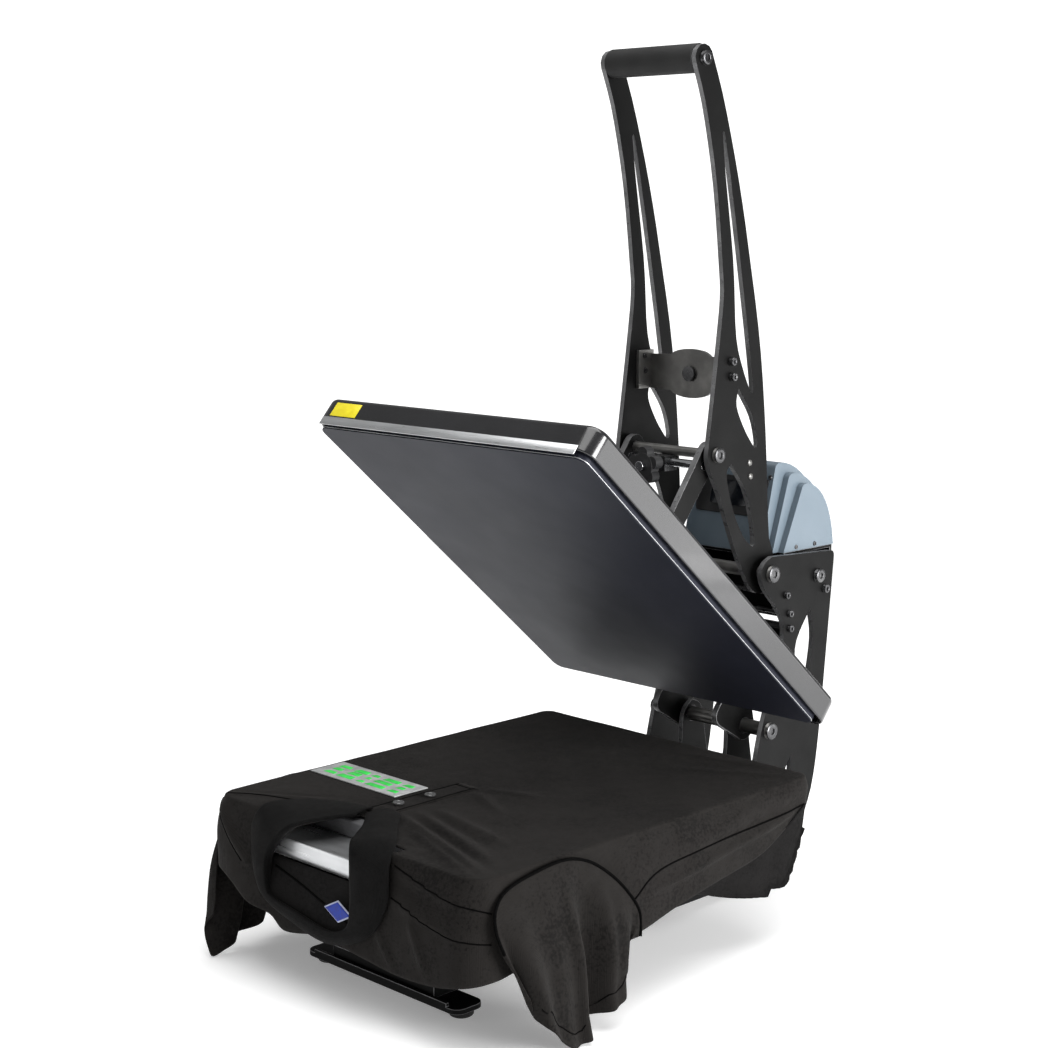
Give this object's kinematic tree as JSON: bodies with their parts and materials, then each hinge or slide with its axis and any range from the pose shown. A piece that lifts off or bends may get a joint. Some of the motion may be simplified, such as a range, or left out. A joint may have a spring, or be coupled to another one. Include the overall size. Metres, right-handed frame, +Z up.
{
  "type": "tabletop heat press",
  "caption": "Clam-type tabletop garment heat press standing open, with a tall twin-arm toggle handle, a hooded control box and a shirt threaded over its lower platen.",
  "frame": {"origin": "middle of the object's bounding box in plan, on the surface that its feet stand on", "axes": "+Z up, -Y towards the operator at the front, +X to the operator's right"},
  "size_m": [0.482, 0.7388, 0.979],
  "materials": {
    "black_coat": "matte black powder coat",
    "gloss_cover": "gloss black enamel",
    "bright_chrome": "polished",
    "zinc_steel": "zinc plated",
    "platen_aluminium": "machined satin",
    "hood_plastic": "fine textured blue-gray",
    "black_plastic": "fine textured",
    "screen": "polished",
    "non_stick": "satin non-stick coating",
    "black_rubber": "matte",
    "silicone_pad": "matte sponge",
    "shirt_cloth": "pique and jersey knit"
  },
  "bodies": {
    "base": {"base_plate": "black_coat", "front_foot_bar": "black_coat", "rear_foot_bar": "black_coat", "foot_front_left": "black_rubber", "foot_front_right": "black_rubber", "foot_rear_left": "black_rubber", "foot_rear_right": "black_rubber", "side_plate_left": "black_coat", "side_plate_right": "black_coat", "inner_plate_left": "black_coat", "inner_plate_right": "black_coat", "hinge_shaft": "zinc_steel", "handle_shaft": "zinc_steel", "rear_tie_rod": "zinc_steel", "rear_spacer_rod": "zinc_steel", "upper_spacer_rod": "zinc_steel", "middle_spacer_rod": "zinc_steel", "lower_spacer_rod": "zinc_steel", "column_spreader": "black_coat", "platen_beam_left": "black_coat", "platen_beam_right": "black_coat", "lower_platen": "platen_aluminium", "platen_pad": "silicone_pad", "garment": "shirt_cloth", "control_hood": "hood_plastic", "electrics_tray": "black_coat", "mains_inlet": "black_plastic", "switch_frame": "black_plastic", "display_panel": "black_plastic", "display_screen": "screen"},
    "heat_platen": {"non_stick_face": "non_stick", "heat_plate": "platen_aluminium", "insulation_board": "silicone_pad", "heat_cover": "gloss_cover", "carrier_plate_left": "black_coat", "carrier_plate_right": "black_coat", "carrier_cross_plate": "black_coat"},
    "press_handle": {"handle_arm_left": "black_coat", "handle_arm_right": "black_coat", "grip_rod": "zinc_steel", "hand_grip": "black_rubber", "toggle_shaft": "bright_chrome", "strike_bracket": "zinc_steel", "strike_bolt": "black_coat", "strike_disc": "bright_chrome", "bracket_bolt_left_1": "zinc_steel", "bracket_bolt_left_2": "zinc_steel", "bracket_bolt_right_1": "zinc_steel", "bracket_bolt_right_2": "zinc_steel"},
    "toggle_link": {"link_bar_left": "black_coat", "link_bar_right": "black_coat", "link_pin": "zinc_steel", "adjusting_rod": "bright_chrome", "adjusting_block": "zinc_steel"},
    "pressure_knob_turn": {"pressure_knob": "black_plastic", "knob_stud": "bright_chrome"},
    "rocker": {"power_switch": "black_plastic"}
  },
  "joints": [
    {"name": "platen_hinge", "type": "hinge", "parent": "base", "child": "heat_platen", "pos_m": [0, 0.236, 0.194], "axis": [1, 0, 0], "range_deg": [0, 41.26], "stiffness_Nm_per_rad": 90, "springref_deg": -54.43},
    {"name": "handle_pivot", "type": "hinge", "parent": "base", "child": "press_handle", "pos_m": [0, 0.235, 0.382], "axis": [1, 0, 0], "range_deg": [0, 78.95]},
    {"name": "link_pivot", "type": "hinge", "parent": "press_handle", "child": "toggle_link", "pos_m": [0, 0.152, 0.527], "axis": [1, 0, 0], "range_deg": [-97.2, 0]},
    {"name": "knob_turn", "type": "hinge", "parent": "toggle_link", "child": "pressure_knob_turn", "pos_m": [0, 0.11253, 0.51273], "axis": [0, 1, 0], "continuous": true},
    {"name": "switch_rock", "type": "hinge", "parent": "base", "child": "rocker", "pos_m": [0.03, 0.361, 0.379], "axis": [1, 0, 0], "range_deg": [0, 14]}
  ],
  "couplings": [
    {"joint": "handle_pivot", "follows": "platen_hinge", "ratio": 1.9127},
    {"joint": "link_pivot", "follows": "platen_hinge", "ratio": -2.3534}
  ]
}
